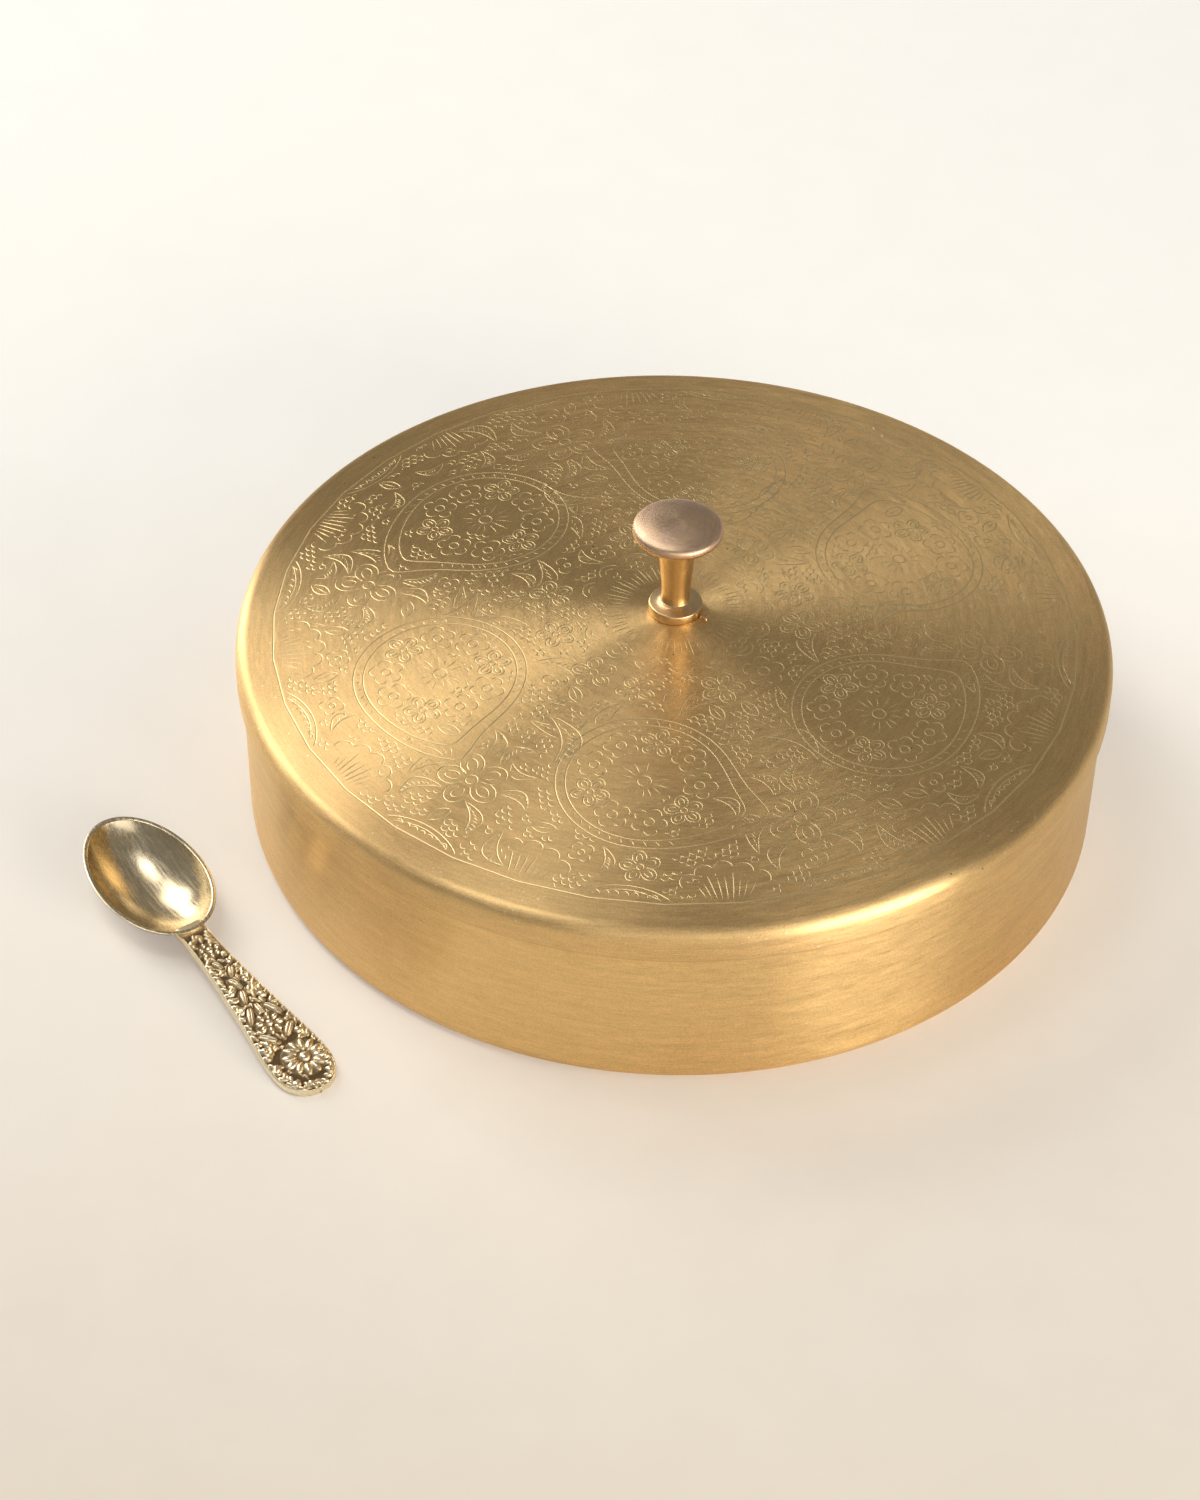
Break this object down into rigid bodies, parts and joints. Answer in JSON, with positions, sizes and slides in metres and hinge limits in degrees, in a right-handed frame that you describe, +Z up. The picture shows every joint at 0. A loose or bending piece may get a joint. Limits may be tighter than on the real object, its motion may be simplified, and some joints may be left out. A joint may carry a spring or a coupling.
{
  "type": "round spice box with lid, cups and spoon",
  "caption": "Round brass spice box with a domed engraved lid and a mushroom knob, loose round cups inside and a small spoon with a relief handle beside it.",
  "frame": {"origin": "centre of the pan's flat underside, on the surface it stands on", "axes": "+Z up along the pan's and knob's shared axis; -Y towards the front of the picture, +X to its right; the spoon lies at the front left"},
  "size_m": [0.2354, 0.2096, 0.0789],
  "materials": {
    "brushed_brass": "satin, brushed round the axis",
    "knob_brass": "turned satin, a little tarnished",
    "cup_brass": "spun satin",
    "fixing_brass": "plain, turned",
    "spoon_brass": "polished bowl, cast handle with dark recesses"
  },
  "bodies": {
    "pan": {"pan": "brushed_brass"},
    "lid": {"lid": "brushed_brass", "knob": "knob_brass", "knob_washer": "fixing_brass", "knob_screw": "fixing_brass"},
    "cup_middle": {"cup_middle": "cup_brass"},
    "cup_1": {"cup_1": "cup_brass"},
    "cup_2": {"cup_2": "cup_brass"},
    "cup_3": {"cup_3": "cup_brass"},
    "cup_4": {"cup_4": "cup_brass"},
    "cup_5": {"cup_5": "cup_brass"},
    "cup_6": {"cup_6": "cup_brass"},
    "spoon": {"spoon": "spoon_brass"}
  },
  "joints": [
    {"name": "lid_lift", "type": "slide", "parent": "pan", "child": "lid", "axis": [0, 0, 1], "range_m": [0, 0.16]},
    {"name": "cup_middle_lift", "type": "slide", "parent": "pan", "child": "cup_middle", "axis": [0, 0, 1], "range_m": [0, 0.08]},
    {"name": "cup_1_lift", "type": "slide", "parent": "pan", "child": "cup_1", "axis": [0, 0, 1], "range_m": [0, 0.08]},
    {"name": "cup_2_lift", "type": "slide", "parent": "pan", "child": "cup_2", "axis": [0, 0, 1], "range_m": [0, 0.08]},
    {"name": "cup_3_lift", "type": "slide", "parent": "pan", "child": "cup_3", "axis": [0, 0, 1], "range_m": [0, 0.08]},
    {"name": "cup_4_lift", "type": "slide", "parent": "pan", "child": "cup_4", "axis": [0, 0, 1], "range_m": [0, 0.08]},
    {"name": "cup_5_lift", "type": "slide", "parent": "pan", "child": "cup_5", "axis": [0, 0, 1], "range_m": [0, 0.08]},
    {"name": "cup_6_lift", "type": "slide", "parent": "pan", "child": "cup_6", "axis": [0, 0, 1], "range_m": [0, 0.08]},
    {"name": "spoon_lift", "type": "slide", "parent": "pan", "child": "spoon", "axis": [0, 0, 1], "range_m": [0, 0.1]}
  ],
  "couplings": [
    {"joint": "cup_middle_lift", "follows": "lid_lift", "ratio": 0.5},
    {"joint": "cup_1_lift", "follows": "lid_lift", "ratio": 0.5},
    {"joint": "cup_2_lift", "follows": "lid_lift", "ratio": 0.5},
    {"joint": "cup_3_lift", "follows": "lid_lift", "ratio": 0.5},
    {"joint": "cup_4_lift", "follows": "lid_lift", "ratio": 0.5},
    {"joint": "cup_5_lift", "follows": "lid_lift", "ratio": 0.5},
    {"joint": "cup_6_lift", "follows": "lid_lift", "ratio": 0.5}
  ]
}
